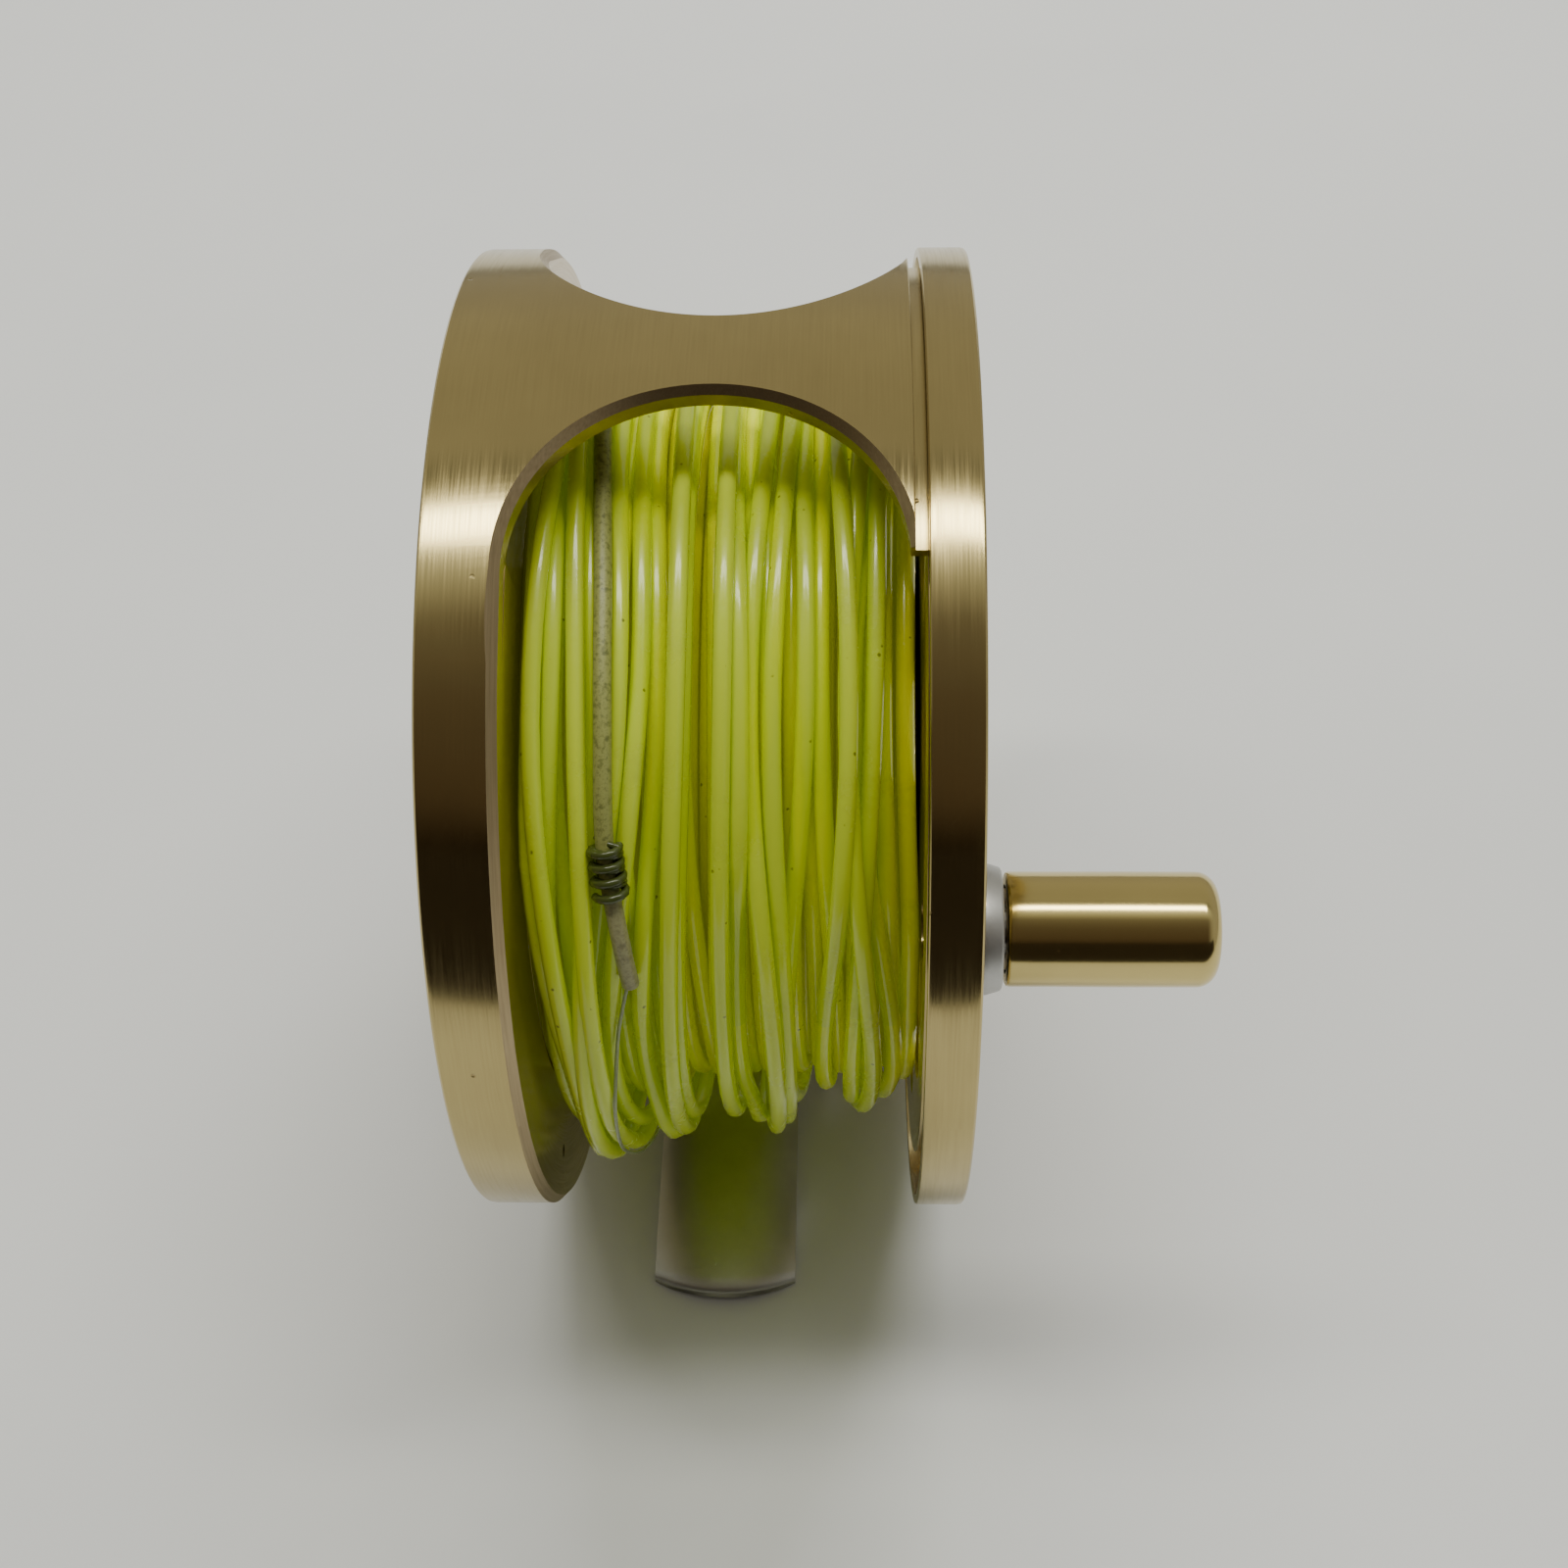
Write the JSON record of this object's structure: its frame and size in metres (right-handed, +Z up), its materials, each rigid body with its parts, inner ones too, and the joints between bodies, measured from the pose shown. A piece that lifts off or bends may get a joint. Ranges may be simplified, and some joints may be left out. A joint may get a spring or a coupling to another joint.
{
  "type": "fly fishing reel",
  "caption": "Gold-anodised fly fishing reel on its foot: half frame with crossbars, turning spool with palming rim and handle, wound with chartreuse fly line.",
  "frame": {"origin": "middle of the reel foot's underside, on the surface it stands on", "axes": "+X along the spool axis towards the handle, -Y towards the side where the line leaves, +Z up"},
  "size_m": [0.0655, 0.085, 0.09],
  "materials": {
    "anodised_gold": "champagne gold anodised, turned, fine circumferential lines",
    "polished_gold": "glossy gold anodised",
    "satin_silver": "bead-blasted satin silver",
    "stainless_steel": "turned stainless steel",
    "brass": "machined brass",
    "cork": "dense cork composite",
    "black_composite": "woven carbon composite",
    "nitrile_rubber": "moulded seal rubber",
    "chartreuse_line": "soft PVC coating, slightly translucent",
    "white_backing": "braided polyester",
    "grey_leader": "stained monofilament"
  },
  "bodies": {
    "frame_body": {"frame": "anodised_gold", "reel_foot": "satin_silver", "foot_screw_front": "stainless_steel", "foot_screw_rear": "stainless_steel", "spindle": "stainless_steel", "drag_housing": "satin_silver", "housing_screw_1": "stainless_steel", "housing_screw_2": "stainless_steel", "housing_screw_3": "stainless_steel", "spring_washer": "stainless_steel", "pressure_plate": "stainless_steel", "friction_disc_inner": "cork", "friction_disc_outer": "black_composite", "drag_seal": "nitrile_rubber", "bearing_spacer": "stainless_steel", "detent_spring": "stainless_steel", "pawl_pivot": "stainless_steel"},
    "spool_body": {"spool": "anodised_gold", "drag_rotor": "stainless_steel", "one_way_clutch": "black_composite", "clutch_race": "stainless_steel", "bearing_inner": "stainless_steel", "bearing_outer": "stainless_steel", "click_gear": "brass", "handle_collar": "satin_silver", "handle_screw": "stainless_steel", "counterweight": "satin_silver", "backing_line": "white_backing", "fly_line": "chartreuse_line", "leader": "grey_leader"},
    "grip_body": {"handle_grip": "polished_gold", "handle_bush": "brass"},
    "knob_body": {"drag_knob": "anodised_gold", "tension_nut": "brass", "detent_track": "stainless_steel"},
    "cap_body": {"spool_cap": "anodised_gold"},
    "pawl_body": {"click_pawl": "stainless_steel"},
    "plunger_body": {"detent_plunger": "stainless_steel"}
  },
  "joints": [
    {"name": "spool_spin", "type": "hinge", "parent": "frame_body", "child": "spool_body", "pos_m": [0, 0, 0.0475], "axis": [1, 0, 0], "continuous": true},
    {"name": "grip_spin", "type": "hinge", "parent": "spool_body", "child": "grip_body", "pos_m": [0.024, -0.02969, 0.05641], "axis": [1, 0, 0], "continuous": true},
    {"name": "drag_knob_turn", "type": "hinge", "parent": "frame_body", "child": "knob_body", "pos_m": [-0.0194, 0, 0.0475], "axis": [1, 0, 0], "range_deg": [0, 330]},
    {"name": "cap_unscrew", "type": "hinge", "parent": "frame_body", "child": "cap_body", "pos_m": [0.0189, 0, 0.0475], "axis": [1, 0, 0], "range_deg": [0, 1080]},
    {"name": "pawl_lift", "type": "hinge", "parent": "frame_body", "child": "pawl_body", "pos_m": [-0.0155, 0.02039, 0.04679], "axis": [1, 0, 0], "range_deg": [-14, 14], "stiffness_Nm_per_rad": 0.002},
    {"name": "detent_press", "type": "slide", "parent": "frame_body", "child": "plunger_body", "axis": [1, 0, 0], "range_m": [0, 0.0005], "stiffness_N_per_m": 800, "deforming": ["detent_spring"]}
  ]
}
